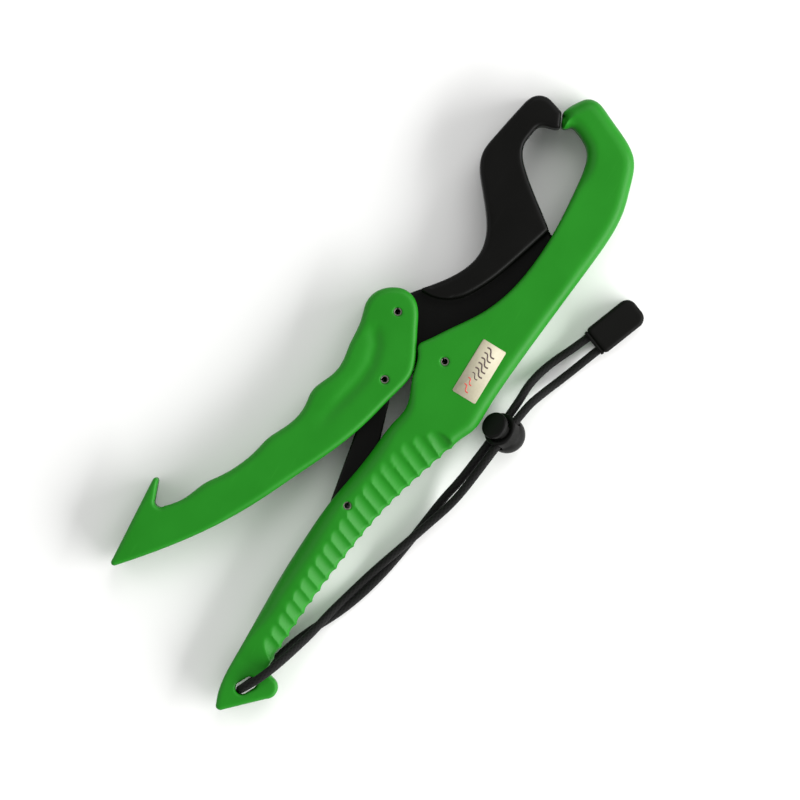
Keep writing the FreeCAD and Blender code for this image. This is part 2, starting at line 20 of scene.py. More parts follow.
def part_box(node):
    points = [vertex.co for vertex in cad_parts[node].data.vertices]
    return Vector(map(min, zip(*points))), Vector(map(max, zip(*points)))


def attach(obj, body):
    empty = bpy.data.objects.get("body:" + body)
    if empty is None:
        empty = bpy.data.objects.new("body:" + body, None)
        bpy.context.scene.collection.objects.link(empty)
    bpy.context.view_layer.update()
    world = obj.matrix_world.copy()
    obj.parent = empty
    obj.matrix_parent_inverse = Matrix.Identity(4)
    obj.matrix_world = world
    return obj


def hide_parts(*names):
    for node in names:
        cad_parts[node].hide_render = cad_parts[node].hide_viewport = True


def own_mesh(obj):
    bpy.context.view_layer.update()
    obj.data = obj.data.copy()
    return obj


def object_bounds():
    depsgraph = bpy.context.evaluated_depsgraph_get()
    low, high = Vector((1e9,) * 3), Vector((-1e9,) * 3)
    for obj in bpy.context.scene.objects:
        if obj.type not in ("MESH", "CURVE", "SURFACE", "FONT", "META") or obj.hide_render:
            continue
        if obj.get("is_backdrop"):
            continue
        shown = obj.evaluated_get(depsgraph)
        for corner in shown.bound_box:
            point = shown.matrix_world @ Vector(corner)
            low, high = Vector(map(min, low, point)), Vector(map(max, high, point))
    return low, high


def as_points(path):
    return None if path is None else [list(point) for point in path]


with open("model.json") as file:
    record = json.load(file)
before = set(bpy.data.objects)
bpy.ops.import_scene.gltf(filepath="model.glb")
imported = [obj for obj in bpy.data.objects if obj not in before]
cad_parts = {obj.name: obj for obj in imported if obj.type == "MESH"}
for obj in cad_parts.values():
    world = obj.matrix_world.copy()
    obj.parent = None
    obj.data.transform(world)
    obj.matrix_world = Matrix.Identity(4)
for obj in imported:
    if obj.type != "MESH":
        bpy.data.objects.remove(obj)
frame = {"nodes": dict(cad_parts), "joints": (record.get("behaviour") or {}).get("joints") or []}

MM = 0.001
cad_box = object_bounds()


def centre(node):
    low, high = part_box(node)
    return (Vector(low) + Vector(high)) / 2


pivot = centre("jaw_pivot_pin")
print("jaw pivot", [round(v / MM, 2) for v in pivot])


def at(x, y, z=0.0):
    """A place given in millimetres from the jaw pivot, and up from the surface."""
    return Vector((pivot.x + x * MM, pivot.y + y * MM, z * MM))

# %% [markdown]
# ## Camera, floor and light
#
# The grip is seen from straight above, turned so that it runs up and to the right, through a long
# lens that keeps the sides from showing. A product picture like this has one broad soft light,
# here from the palm side, so that the rounded edges on that side shine and those on the
# other side stay dark. Area lights make that soft edge. The floor is a plain pale sheet.

# %% Camera and floor
VIEW_WIDTH = 280 * MM
VIEW_CENTRE = at(-19.5, 6.3)
VIEW_TURN = -58.5
CAMERA_HEIGHT = 2.4


def add_camera():
    data = bpy.data.cameras.new("camera")
    data.sensor_width = 36.0
    data.lens = data.sensor_width * CAMERA_HEIGHT / VIEW_WIDTH
    data.clip_end = 20.0
    camera = bpy.data.objects.new("camera", data)
    camera.location = VIEW_CENTRE + Vector((0, 0, CAMERA_HEIGHT))
    camera.rotation_euler = (0, 0, math.radians(VIEW_TURN))
    bpy.context.collection.objects.link(camera)
    bpy.context.scene.camera = camera
    return camera


print("lens", round(add_camera().data.lens, 1))

# %% Lights and floor
FLOOR_REACH = 3.0
FLOOR_COLOUR = (0.92, 0.92, 0.91, 1)
ROOM_COLOUR = (1.0, 1.0, 1.0, 1)
ROOM_BRIGHTNESS = 0.40


def add_area_light(name, place, target, size, power):
    data = bpy.data.lights.new(name, "AREA")
    data.shape = "RECTANGLE"
    data.size, data.size_y = size
    data.energy = power
    light = bpy.data.objects.new(name, data)
    light.location = place
    light.rotation_euler = (target - place).to_track_quat("-Z", "Y").to_euler()
    bpy.context.collection.objects.link(light)
    print(name, power, "W")


def add_floor():
    mesh = bpy.data.meshes.new("floor")
    corners = [(x * FLOOR_REACH, y * FLOOR_REACH, 0) for x, y in ((-1, -1), (1, -1), (1, 1), (-1, 1))]
    mesh.from_pydata(corners, [], [(0, 1, 2, 3)])
    floor = bpy.data.objects.new("floor", mesh)
    bpy.context.collection.objects.link(floor)
    paper = bpy.data.materials.new("pale_paper")
    paper.use_nodes = True
    shader = paper.node_tree.nodes["Principled BSDF"]
    shader.inputs["Base Color"].default_value = FLOOR_COLOUR
    shader.inputs["Roughness"].default_value = 0.85
    mesh.materials.append(paper)
    floor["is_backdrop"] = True


def add_studio():
    middle = at(0, 0, 10)
    add_area_light("palm_side_softbox", at(250, -1100, 520), middle, (1.8, 0.8), 31)
    add_area_light("jaw_side_softbox", at(1000, 150, 1150), middle, (1.2, 1.2), 9)
    add_area_light("lever_side_fill", at(-400, 900, 900), middle, (1.2, 0.8), 3)
    world = bpy.data.worlds.new("room")
    world.use_nodes = True
    background = world.node_tree.nodes["Background"]
    background.inputs["Color"].default_value = ROOM_COLOUR
    background.inputs["Strength"].default_value = ROOM_BRIGHTNESS
    bpy.context.scene.world = world
    bpy.context.scene.view_settings.view_transform = "Standard"


add_floor()
add_studio()

# %% [markdown]
# ## The lanyard's line
#
# The lanyard is one limp braided cord, 3 mm thick. Both its ends sit in a rubber cap; from there
# the two strands run side by side through the sliding lock, along the handle and through the
# slot in the pommel, where the cord folds back on itself. A chain of straight runs and arcs
# would do, and is what the CAD model has. Here the same control points steer a NURBS curve,
# because it bends smoothly and never kinks; one of them stands 0.9 mm further into the slot, so
# that the cord fills it. The line comes first because its spread decides how large the whole
# model is.

# %% One smooth spline for the lanyard
CORD_DIAMETER = 3.0 * MM
CORD_RINGS = 1500
CORD_ROUTE = [
    (37.05, -45.61, 3.6), (27.74, -42.22, 3.6), (17.5, -38.6, 1.8), (8.5, -35.0, 4.0), (0.5, -32.26, 10.2),
    (-31.0, -29.5, 10.2), (-41.0, -28.0, 6.3), (-50.0, -25.2, 4.9), (-63.0, -21.1, 4.9), (-75.0, -17.2, 1.7),
    (-87.0, -14.0, 1.6), (-97.0, -11.4, 3.0), (-104.5, -10.0, 5.9), (-111.5, -8.1, 9.6), (-117.5, -6.3, 13.6),
    (-122.5, -4.6, 16.2), (-128.0, -2.4, 16.6), (-132.9, 0.2, 14.4), (-135.2, 1.4, 9.0), (-132.6, 0.0, 3.4),
    (-126.8, -2.4, 2.0), (-118.5, -4.3, 1.6), (-110.5, -6.6, 1.6), (-103.0, -9.8, 1.6), (-95.0, -13.9, 1.6),
    (-86.0, -17.3, 1.6), (-75.0, -20.2, 1.6), (-64.0, -22.0, 1.6), (-52.0, -23.4, 1.6), (-41.0, -24.6, 3.4),
    (-31.0, -26.66, 8.14), (0.5, -29.42, 8.14), (9.0, -29.2, 3.6), (18.5, -31.7, 1.8), (29.66, -36.96, 3.6),
    (38.96, -40.35, 3.6)]


def spline_points(route):
    """Points along a NURBS curve whose control points are the route's places, in millimetres."""
    curve = bpy.data.curves.new("lanyard_line", "CURVE")
    curve.dimensions = "3D"
    spline = curve.splines.new("NURBS")
    spline.points.add(len(route) - 1)
    for point, place in zip(spline.points, route):
        point.co = (*at(*place), 1)
    spline.order_u = 3
    spline.use_endpoint_u = True
    spline.resolution_u = 24
    line = bpy.data.objects.new("lanyard_line", curve)
    bpy.context.collection.objects.link(line)
    mesh = bpy.data.meshes.new_from_object(line)
    points = [v.co.copy() for v in mesh.vertices]
    bpy.data.objects.remove(line)
    return points


def evenly(points, count):
    """The same line as a given number of evenly spaced points, and its length."""
    runs = [0.0]
    for a, b in zip(points, points[1:]):
        runs.append(runs[-1] + (b - a).length)
    spread = []
    step = 0
    for i in range(count):
        wanted = runs[-1] * i / (count - 1)
        while step < len(points) - 2 and runs[step + 1] < wanted:
            step += 1
        share = (wanted - runs[step]) / (runs[step + 1] - runs[step])
        spread.append(points[step].lerp(points[step + 1], share))
    return spread, runs[-1]


lanyard_line, lanyard_length = evenly(spline_points(CORD_ROUTE), CORD_RINGS)
print("lanyard length", round(lanyard_length / MM, 1), "mm")

# %% [markdown]
# ## The lanyard's braid
#
# A curve with a bevel would give a smooth rubber tube. This cord is braided, so the tube is made
# ring by ring in mesh code: two families of strands wind round it in opposite directions, and
# each ring stands a few hundredths of a millimetre proud where a strand is on top. The tube
# also gets a UV map, once round and evenly along, that the fibre material follows.

# %% A braided tube along the line
BRAID_SIDES = 40
BRAID_STRANDS = 8
BRAID_PITCH = 9.0 * MM
BRAID_RELIEF = 0.07 * MM


def braid_height(turn, run):
    """0 to 1: the higher of two crossing families of strands."""
    twist = 2 * math.pi * run / BRAID_PITCH
    left = math.cos(BRAID_STRANDS * (turn + twist / 2))
    right = math.cos(BRAID_STRANDS * (turn - twist / 2))
    return 0.5 + 0.5 * max(left, right)


def ring_frames(line):
    """For each point, two directions square to the line that never twist suddenly."""
    side = None
    for i, place in enumerate(line):
        ahead = (line[min(i + 1, len(line) - 1)] - line[max(i - 1, 0)]).normalized()
        if side is None:
            side = ahead.orthogonal()
        side = (side - ahead * side.dot(ahead)).normalized()
        yield place, side, ahead.cross(side)


def braided_tube(name, line, length, diameter):
    places, quads = [], []
    rings = len(line)
    for ring, (place, side, up) in enumerate(ring_frames(line)):
        run = length * ring / (rings - 1)
        for i in range(BRAID_SIDES):
            turn = 2 * math.pi * i / BRAID_SIDES
            radius = diameter / 2 - BRAID_RELIEF * (1 - braid_height(turn, run))
            places.append(place + side * radius * math.cos(turn) + up * radius * math.sin(turn))
    for ring in range(rings - 1):
        for i in range(BRAID_SIDES):
            near, far = ring * BRAID_SIDES, (ring + 1) * BRAID_SIDES
            j = (i + 1) % BRAID_SIDES
            quads.append((near + i, near + j, far + j, far + i))
    last = (rings - 1) * BRAID_SIDES
    ends = [tuple(reversed(range(BRAID_SIDES))), tuple(range(last, last + BRAID_SIDES))]
    mesh = bpy.data.meshes.new(name)
    mesh.from_pydata(places, [], quads + ends)
    coordinates = mesh.uv_layers.new(name="braid").data
    ring_height = length / (rings - 1) / BRAID_PITCH
    for face in mesh.polygons[:len(quads)]:
        ring, i = divmod(face.index, BRAID_SIDES)
        corners = ((i, ring), (i + 1, ring), (i + 1, ring + 1), (i, ring + 1))
        for loop, (across, along_line) in zip(face.loop_indices, corners):
            coordinates[loop].uv = (across / BRAID_SIDES, along_line * ring_height)
    tube = bpy.data.objects.new(name, mesh)
    bpy.context.collection.objects.link(tube)
    return tube


lanyard = braided_tube("lanyard_braid", lanyard_line, lanyard_length, CORD_DIAMETER)
print("lanyard braid", len(lanyard.data.polygons), "faces")

# %% [markdown]
# ## Helpers for moulded pieces
#
# A moulded part has no sharp outer rims: the mould is milled with a round cutter and the part
# is tumbled in use. The CAD shapes are exact but their front and rear rims are sharp. A bevel
# modifier needs clean quads, which a CAD mesh hasn't got, so each shell is rebuilt as an even
# grid of small quads by a voxel remesh, and every vertex near a rim is then moved onto a
# quarter circle. The radius may change from place to place, which a modifier couldn't do.

# %% Rebuild a CAD node as even quads
WELD_DISTANCE = 0.002 * MM


def merged(node):
    """A closed bmesh copy of a CAD node, its loose triangles joined."""
    joined = bmesh.new()
    joined.from_mesh(frame["nodes"][node].data)
    bmesh.ops.remove_doubles(joined, verts=joined.verts, dist=WELD_DISTANCE)
    return joined


def plain_mesh_of(thing):
    """The mesh that an object's modifiers end in."""
    return bpy.data.meshes.new_from_object(thing.evaluated_get(bpy.context.evaluated_depsgraph_get()))


def remeshed(name, node, voxel):
    """A CAD node as an object of even quads."""
    source = merged(node)
    mesh = bpy.data.meshes.new(name)
    source.to_mesh(mesh)
    source.free()
    mesh.materials.clear()
    block = bpy.data.objects.new(name, mesh)
    bpy.context.collection.objects.link(block)
    grid = block.modifiers.new("grid", "REMESH")
    grid.mode = "VOXEL"
    grid.voxel_size = voxel
    shape = plain_mesh_of(block)
    block.modifiers.clear()
    block.data = shape
    shape.name = name
    return block

# %% Find the sharp rims and round them
MID_HEIGHT = centre("moving_jaw").z
RIM_STEP = 0.1 * MM
RIM_LEAST_HEIGHT = 3.0 * MM
FLAT_NORMAL_Z = 0.6
WALL_NORMAL_Z = 0.35
SKIN_DEPTH = 0.4 * MM
CLEAR_OF_RIM = 5 * RIM_STEP
WEAR_REACH = 0.6
print("mid height", round(MID_HEIGHT / MM, 2), "mm")


def station(place):
    """Millimetres from the jaw pivot, the reverse of at()."""
    return (place.x - pivot.x) / MM, (place.y - pivot.y) / MM


def tree_of(places):
    """A search tree that finds the nearest of some places by its number."""
    tree = KDTree(len(places))
    for i, place in enumerate(places):
        tree.insert(place, i)
    tree.balance()
    return tree


def sharp_rims(node, wanted):
    """Points along the wanted front and rear rims, each with its side and the way into the piece."""
    shape = merged(node)
    shape.normal_update()
    rims = []
    for edge in shape.edges:
        if len(edge.link_faces) != 2 or not edge.is_convex:
            continue
        flat, wall = sorted(edge.link_faces, key=lambda f: -abs(f.normal.z))
        start, end = edge.verts[0].co, edge.verts[1].co
        side = 1 if flat.normal.z > 0 else -1
        if abs(flat.normal.z) < FLAT_NORMAL_Z or abs(wall.normal.z) > WALL_NORMAL_Z:
            continue
        if side * ((start.z + end.z) / 2 - MID_HEIGHT) <= RIM_LEAST_HEIGHT or not wanted(start):
            continue
        inward = Vector((-wall.normal.x, -wall.normal.y, 0)).normalized()
        steps = max(1, math.ceil((end - start).length / RIM_STEP))
        rims += [(start.lerp(end, (i + 0.5) / steps), side, inward) for i in range(steps)]
    shape.free()
    return rims


def round_rims(piece, rims, radius_at):
    """Move the vertices near each rim onto a quarter circle of the radius wanted there.

    Each vertex also keeps how near it is to a rim, which the materials read as wear."""
    tree = tree_of([place for place, _, _ in rims])
    nearness = []
    for vertex in piece.data.vertices:
        _, i, distance = tree.find(vertex.co)
        place, side, inward = rims[i]
        radius = radius_at(*station(place)) * MM
        nearness.append(max(0.0, 1 - distance / (WEAR_REACH * radius + WEAR_REACH * MM)))
        offset = vertex.co - place
        flat = Vector((offset.x, offset.y, 0))
        if flat.length > CLEAR_OF_RIM:
            inward = flat.normalized()
        across = max(0.0, flat.dot(inward))
        down = max(0.0, -side * offset.z)
        if min(across, down) > SKIN_DEPTH or max(across, down) > radius:
            continue
        turn = math.radians(45 + 45 * (across - down) / radius)
        vertex.co += inward * (radius * (1 - math.cos(turn)) - across)
        vertex.co.z -= side * (radius * (1 - math.sin(turn)) - down)
    if "rim" not in piece.data.attributes:
        piece.data.attributes.new("rim", "FLOAT", "POINT").data.foreach_set("value", nearness)

# %% Relax, settle and refine a piece
def relax(piece, rounds, factor=0.5):
    """Move every vertex towards the middle of its neighbours."""
    shape = bmesh.new()
    shape.from_mesh(piece.data)
    for _ in range(rounds):
        bmesh.ops.smooth_vert(shape, verts=shape.verts, factor=factor,
                              use_axis_x=True, use_axis_y=True, use_axis_z=True)
    shape.to_mesh(piece.data)
    shape.free()


SETTLE_REACH = 0.5 * MM


def settle(piece, node):
    """Put the vertices back on the CAD surface, which the voxels only come near to."""
    shape = merged(node)
    surface = BVHTree.FromBMesh(shape)
    shape.free()
    for vertex in piece.data.vertices:
        nearest = surface.find_nearest(vertex.co, SETTLE_REACH)[0]
        if nearest is not None:
            vertex.co = nearest


def refine(piece, wanted):
    """Halve the grid where wanted says so."""
    shape = bmesh.new()
    shape.from_mesh(piece.data)
    edges = [e for e in shape.edges if wanted(e.verts[0].co) and wanted(e.verts[1].co)]
    bmesh.ops.subdivide_edges(shape, edges=edges, cuts=1, use_grid_fill=True)
    shape.to_mesh(piece.data)
    shape.free()

# %% One call for a whole piece
def finish_piece(piece, body, slot, material, *nodes):
    """Give a piece its material and body, and hide the CAD nodes it stands for."""
    piece.data.polygons.foreach_set("use_smooth", [True] * len(piece.data.polygons))
    piece.data.materials.clear()
    piece.data.materials.append(material)
    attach(piece, body)
    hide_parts(*nodes)
    print(piece.name, "on", body, len(piece.data.polygons), "faces")


PINS = ("jaw_pivot_pin", "link_foot_pin", "lever_pivot_pin", "link_head_pin")
PIN_CENTRES = [centre(pin) for pin in PINS]
PIN_HOLE_REACH = 2.5 * MM


def away_from_pins(place):
    return all((place - middle).xy.length >= PIN_HOLE_REACH for middle in PIN_CENTRES)


def moulded(name, node, voxel, radius_at, wanted=away_from_pins, fine=None):
    """One CAD node as a moulded piece, still to be given its body and material."""
    piece = remeshed(name, node, voxel)
    if fine is not None:
        refine(piece, fine)
    settle(piece, node)
    round_rims(piece, sharp_rims(node, wanted), radius_at)
    relax(piece, 2, factor=0.4)
    return piece


def fade(low, high, value):
    """0 up to low, 1 from high, and a smooth rise between."""
    t = min(1.0, max(0.0, (value - low) / (high - low)))
    return t * t * (3 - 2 * t)


def along(stops, x):
    """A value that changes with x through a list of (x, value) stops."""
    for (x0, v0), (x1, v1) in zip(stops, stops[1:]):
        if x <= x1:
            return v0 + (v1 - v0) * fade(x0, x1, x)
    return stops[-1][1]

# %% [markdown]
# ## Finishes
#
# Everything here is moulded plastic, rubber, steel, paper or braided cord. Moulded plastic is
# never quite even: the melt leaves faint clouds of colour, the mould a very fine orange peel,
# and handling polishes the rims and leaves small scuffs. Those three are one node group with
# named inputs, used by every plastic with its own values.

# %% A shared group for moulded surfaces
CLOUD_SCALE = 55.0
PEEL_SCALE = 900.0
GRIT_SCALE = 2600.0
SCRATCH_STRETCH = (60, 900, 300)
SCRATCH_TURN = 25


def new_group(name, inputs, outputs):
    group = bpy.data.node_groups.new(name, "ShaderNodeTree")
    for label, kind, value in inputs:
        socket = group.interface.new_socket(label, in_out="INPUT", socket_type=kind)
        socket.default_value = value
    for label, kind in outputs:
        group.interface.new_socket(label, in_out="OUTPUT", socket_type=kind)
    return group, group.nodes.new("NodeGroupInput"), group.nodes.new("NodeGroupOutput")


def add(tree, kind, **settings):
    """A node with its settings, and its unlinked inputs by name."""
    node = tree.nodes.new(kind)
    values = settings.pop("values", {})
    for key, value in settings.items():
        setattr(node, key, value)
    for key, value in values.items():
        node.inputs[key].default_value = value
    return node


def math_node(tree, operation, a, b=0.0, clamp=False):
    node = add(tree, "ShaderNodeMath", operation=operation, use_clamp=clamp)
    for socket, value in zip(node.inputs, (a, b)):
        if isinstance(value, (int, float)):
            socket.default_value = value
        else:
            tree.links.new(value, socket)
    return node.outputs[0]


def mix_colour(tree, amount, a, b):
    node = add(tree, "ShaderNodeMix", data_type="RGBA")
    sockets = [s for s in node.inputs if s.enabled]
    for socket, value in zip(sockets, (amount, a, b)):
        if isinstance(value, bpy.types.NodeSocket):
            tree.links.new(value, socket)
        else:
            socket.default_value = value
    return [s for s in node.outputs if s.enabled][0]


def noise_at(tree, vector, scale, detail=3.0, roughness=0.5):
    node = add(tree, "ShaderNodeTexNoise", values={"Scale": scale, "Detail": detail, "Roughness": roughness})
    tree.links.new(vector, node.inputs["Vector"])
    return node.outputs["Fac"]


def moulded_surface_group():
    group, given, out = new_group(
        "moulded_surface",
        [("Colour", "NodeSocketColor", (0.5, 0.5, 0.5, 1)),
         ("Worn Colour", "NodeSocketColor", (0.7, 0.7, 0.7, 1)),
         ("Roughness", "NodeSocketFloat", 0.4), ("Clouding", "NodeSocketFloat", 0.3),
         ("Peel", "NodeSocketFloat", 0.5), ("Scuffs", "NodeSocketFloat", 0.5)],
        [("Colour", "NodeSocketColor"), ("Roughness", "NodeSocketFloat"), ("Height", "NodeSocketFloat")])
    place = add(group, "ShaderNodeTexCoord").outputs["Object"]
    clouds = noise_at(group, place, CLOUD_SCALE, 3.0)
    peel = noise_at(group, place, PEEL_SCALE, 2.0)
    grit = noise_at(group, place, GRIT_SCALE, 2.0, 0.7)
    stretch = add(group, "ShaderNodeMapping")
    stretch.inputs["Rotation"].default_value = (0, 0, math.radians(SCRATCH_TURN))
    stretch.inputs["Scale"].default_value = SCRATCH_STRETCH
    group.links.new(place, stretch.inputs["Vector"])
    scratch = noise_at(group, stretch.outputs["Vector"], 1.0, 4.0, 0.65)
    scratches = math_node(group, "MULTIPLY", math_node(group, "SUBTRACT", scratch, 0.62), 9.0, clamp=True)
    rim = add(group, "ShaderNodeAttribute", attribute_name="rim").outputs["Fac"]
    patchy = math_node(group, "MULTIPLY", rim, math_node(group, "MULTIPLY", grit, 1.6))
    marks = math_node(group, "ADD", math_node(group, "MULTIPLY", patchy, 0.6),
                      math_node(group, "MULTIPLY", scratches, 0.35))
    worn = math_node(group, "MULTIPLY", marks, given.outputs["Scuffs"], clamp=True)
    drift = math_node(group, "SUBTRACT", clouds, 0.5)
    shade = math_node(group, "ADD", 1.0, math_node(group, "MULTIPLY", drift, given.outputs["Clouding"]))
    tint = add(group, "ShaderNodeHueSaturation")
    group.links.new(shade, tint.inputs["Value"])
    group.links.new(given.outputs["Colour"], tint.inputs["Color"])
    colour = mix_colour(group, worn, tint.outputs["Color"], given.outputs["Worn Colour"])
    group.links.new(colour, out.inputs["Colour"])
    uneven = math_node(group, "MULTIPLY", drift, 0.25)
    rough = math_node(group, "ADD", math_node(group, "ADD", given.outputs["Roughness"], uneven),
                      math_node(group, "MULTIPLY", worn, 0.2), clamp=True)
    group.links.new(rough, out.inputs["Roughness"])
    cuts = math_node(group, "MULTIPLY", scratches, math_node(group, "MULTIPLY", given.outputs["Scuffs"], 0.4))
    height = math_node(group, "SUBTRACT", math_node(group, "MULTIPLY", peel, given.outputs["Peel"]), cuts)
    group.links.new(height, out.inputs["Height"])
    return group


moulded_surface = moulded_surface_group()
print(moulded_surface.name, "has", len(moulded_surface.nodes), "nodes")

# %% Plastic and rubber from that group
PEEL_DEPTH = 0.02 * MM


def new_material(name, **sockets):
    material = bpy.data.materials.new(name)
    material.use_nodes = True
    shader = material.node_tree.nodes["Principled BSDF"]
    for label, value in sockets.items():
        shader.inputs[label.replace("_", " ")].default_value = value
    return material, material.node_tree, shader


def bump_into(tree, shader, height, distance, strength=1.0):
    bump = add(tree, "ShaderNodeBump", values={"Distance": distance, "Strength": strength})
    tree.links.new(height, bump.inputs["Height"])
    tree.links.new(bump.outputs["Normal"], shader.inputs["Normal"])


def plastic(name, colour, worn_colour, roughness, clouding, peel, scuffs, **sockets):
    material, tree, shader = new_material(name, **sockets)
    surface = add(tree, "ShaderNodeGroup", node_tree=moulded_surface)
    given = {"Colour": colour, "Worn Colour": worn_colour, "Roughness": roughness,
             "Clouding": clouding, "Peel": peel, "Scuffs": scuffs}
    for label, value in given.items():
        surface.inputs[label].default_value = value
    tree.links.new(surface.outputs["Colour"], shader.inputs["Base Color"])
    tree.links.new(surface.outputs["Roughness"], shader.inputs["Roughness"])
    bump_into(tree, shader, surface.outputs["Height"], PEEL_DEPTH)
    print(name, "roughness", roughness)
    return material


green_plastic = plastic("green_plastic", (0.009, 0.195, 0.006, 1), (0.04, 0.36, 0.03, 1), roughness=0.45,
                        clouding=0.25, peel=0.8, scuffs=0.3, Specular_IOR_Level=0.22)
black_plastic = plastic("black_plastic", (0.0022, 0.0022, 0.0018, 1), (0.012, 0.012, 0.012, 1),
                        roughness=0.40, clouding=0.3, peel=0.8, scuffs=0.4, Specular_IOR_Level=0.11)
lock_plastic = plastic("lock_plastic", (0.0025, 0.0025, 0.0022, 1), (0.012, 0.012, 0.012, 1), roughness=0.44,
                       clouding=0.3, peel=0.4, scuffs=0.3, Specular_IOR_Level=0.13)
cap_rubber = plastic("cap_rubber", (0.0025, 0.0025, 0.002, 1), (0.01, 0.01, 0.01, 1), roughness=0.55,
                     clouding=0.3, peel=1.0, scuffs=0.3, Specular_IOR_Level=0.1)

# %% [markdown]
# ## The body shells
#
# The body is two mouldings, each the mirror of the other, closed round the jaw's tongue and the
# toggle link. Its handle has a fat round spine, its ribbed palm side is already shaped in the
# CAD model, and the inner edge of the fixed jaw stays fairly crisp until it swells into the
# hook. A bevel modifier with a weight for each edge could follow that, but every weight would
# be set by hand. A list of stations along the handle says the radius here, and the same list
# does both shells.

# %% Round the two body shells
SHELL_VOXEL = 0.6 * MM
SLOT_RIM = 0.8
SLOT_MIDDLE = (-132.4, 0.1)
SLOT_SPAN = (-138.0, -127.5)
SLOT_SLOPE = 0.55
SLOT_HALF_WIDTH = 3.2
POMMEL_RIM = 1.3
PALM_RIM = 1.1
SPINE_RIMS = [(-121, 1.3), (-105, 4.8), (-80, 6.0), (-60, 4.9), (-40, 4.9), (-25, 3.6), (-8, 1.4)]
SPINE_TO_PALM = [(-121, 2), (-75, 1), (-55, -1), (-25, -6), (-8, -8)]
FIXED_JAW_RIMS = [(-8, 1.2), (60, 1.3), (74, 1.8), (84, 4.2), (94, 4.5)]


def in_lanyard_slot(place):
    x, y = station(place)
    aside = y - SLOT_MIDDLE[1] + SLOT_SLOPE * (x - SLOT_MIDDLE[0])
    return SLOT_SPAN[0] < x < SLOT_SPAN[1] and abs(aside) < SLOT_HALF_WIDTH


def body_radius(x, y):
    if x < SPINE_RIMS[0][0]:
        return POMMEL_RIM
    if x < SPINE_RIMS[-1][0]:
        return along(SPINE_RIMS, x) if y > along(SPINE_TO_PALM, x) else PALM_RIM
    return along(FIXED_JAW_RIMS, x)


def ribbed(place):
    """The palm side of the handle, where the ribs need the finer grid."""
    x, y = station(place)
    return -120 < x < -22 and y < 2.5 - 14.5 * fade(-60, -20, x)


for shell in ("body_front_shell", "body_rear_shell"):
    piece = moulded(shell.replace("shell", "moulding"), shell, SHELL_VOXEL, body_radius,
                    wanted=lambda place: away_from_pins(place) and not in_lanyard_slot(place), fine=ribbed)
    round_rims(piece, sharp_rims(shell, in_lanyard_slot), lambda x, y: SLOT_RIM)
    relax(piece, 1)
    finish_piece(piece, "grip", "green_plastic", green_plastic, shell)

# %% [markdown]
# ## The lever shells
#
# The finger lever is moulded as two shells like the body, with a finger wave along its outside
# and a shallow valley in each face, where the moulder takes away plastic that would sink as it
# cools. A sculptor would press the valley by hand. Here a line of stations carries it: each
# vertex of the face sinks by how near it lies to the line, so the valley can be moved by
# changing a few numbers.

# %% Round the two lever shells
VALLEY = [(-1.5, 29.5), (-3.5, 26.8), (-7.5, 23.5), (-14, 21.6), (-20, 21.7), (-26, 22.8), (-32, 24.2),
          (-38, 25.4), (-46, 26.6)]
VALLEY_DEPTH = 0.8 * MM
VALLEY_WIDTH = 2.4 * MM
FACE_HEIGHT = 7.5 * MM
LEVER_RIMS = [(-110, 1.2), (-92, 1.3), (-80, 2.2), (0, 2.2)]


def lever_radius(x, y):
    return along(LEVER_RIMS, x)


def press_valley(piece):
    """A shallow valley where the thumb side of the lever dips beside the finger grip."""
    line, _ = evenly([at(x, y) for x, y in VALLEY], 120)
    tree = tree_of(line)
    for vertex in piece.data.vertices:
        if abs(vertex.co.z - MID_HEIGHT) < FACE_HEIGHT:
            continue
        _, i, distance = tree.find(Vector((vertex.co.x, vertex.co.y, 0)))
        share = i / (len(line) - 1)
        ends = fade(0, 0.12, share) * (1 - fade(0.6, 1, share))
        drop = VALLEY_DEPTH * ends * math.exp(-(distance / VALLEY_WIDTH) ** 2)
        vertex.co.z -= math.copysign(drop, vertex.co.z - MID_HEIGHT)


for shell in ("lever_front_shell", "lever_rear_shell"):
    piece = moulded(shell.replace("shell", "moulding"), shell, SHELL_VOXEL, lever_radius)
    press_valley(piece)
    finish_piece(piece, "lever", "green_plastic", green_plastic, shell)

# %% [markdown]
# ## The black jaw and its link
#
# The hooked jaw and the toggle link are solid black nylon, stronger than the hollow shells,
# because they carry the pull of the fish. Their rims are tighter. Modelling them anew would
# risk their fit in the body's slot, so they go through the same steps as the shells, and the
# link takes smaller voxels because it is only 6 mm thick.

# %% The moving jaw and the toggle link
LINK_VOXEL = 0.4 * MM
HOOK_START = 20
HOOK_RIM = 1.6
THIN_RIM = 0.8


def jaw_radius(x, y):
    return HOOK_RIM if x > HOOK_START else THIN_RIM


def link_radius(x, y):
    return THIN_RIM


jaw = moulded("jaw_moulding", "moving_jaw", SHELL_VOXEL, jaw_radius)
finish_piece(jaw, "jaw", "black_plastic", black_plastic, "moving_jaw")
link = moulded("link_moulding", "toggle_link", LINK_VOXEL, link_radius)
finish_piece(link, "link", "black_plastic", black_plastic, "toggle_link")

# %% [markdown]
# ## Roll pins
#
# The four pivots are roll pins: strips of spring steel rolled into a split tube, pressed into one
# part and turning in the other. All four are the same, so one Geometry Nodes tree makes them: an
# arc that stops short of a full circle, swept with the strip's section, whose corners are
# filleted. Each place gets its own copy, because the pins ride on two different bodies.

# %% Steel
STEEL_DARK = (0.13, 0.14, 0.11, 1)
STEEL_LIGHT = (0.27, 0.28, 0.23, 1)


